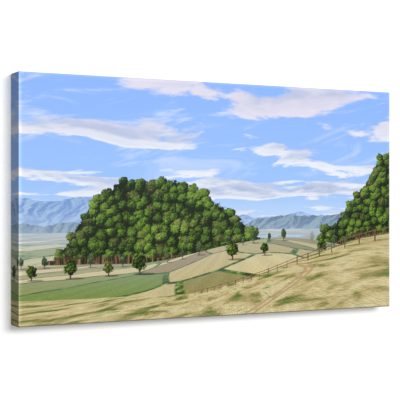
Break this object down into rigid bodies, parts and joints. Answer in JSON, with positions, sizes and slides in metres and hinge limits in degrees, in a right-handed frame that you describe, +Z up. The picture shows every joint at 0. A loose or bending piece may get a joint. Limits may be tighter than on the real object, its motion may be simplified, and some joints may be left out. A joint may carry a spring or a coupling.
{
  "type": "stretched canvas print",
  "caption": "Wide landscape picture printed on canvas, wrapped round a deep wooden stretcher frame, with a saw-tooth hanger at the back to hang it on a nail.",
  "frame": {"origin": "where the wall nail carries the saw-tooth hanger, on the wall's surface, at the middle of the picture's width", "axes": "+X across the picture to the right as it is looked at, +Y into the wall, +Z up; the printed face looks along -Y"},
  "size_m": [0.686, 0.0412, 0.381],
  "materials": {
    "printed_canvas": "woven canvas with a satin printed landscape in sky blue, straw and green, bare off-white at the back",
    "pine": "planed pine, finger jointed, unvarnished",
    "key_wood": "sawn hardwood, unvarnished",
    "zinc_steel": "zinc plated, satin",
    "wall_pad": "soft, matte, pale grey"
  },
  "bodies": {
    "root": {"canvas": "printed_canvas", "bar_bottom": "pine", "bar_right": "pine", "bar_top": "pine", "bar_left": "pine", "key_bottom_first": "key_wood", "key_bottom_second": "key_wood", "key_right_first": "key_wood", "key_right_second": "key_wood", "key_top_first": "key_wood", "key_top_second": "key_wood", "key_left_first": "key_wood", "key_left_second": "key_wood", "hanger": "zinc_steel", "tack_left": "zinc_steel", "tack_right": "zinc_steel", "pad_left": "wall_pad", "pad_right": "wall_pad"}
  },
  "joints": []
}
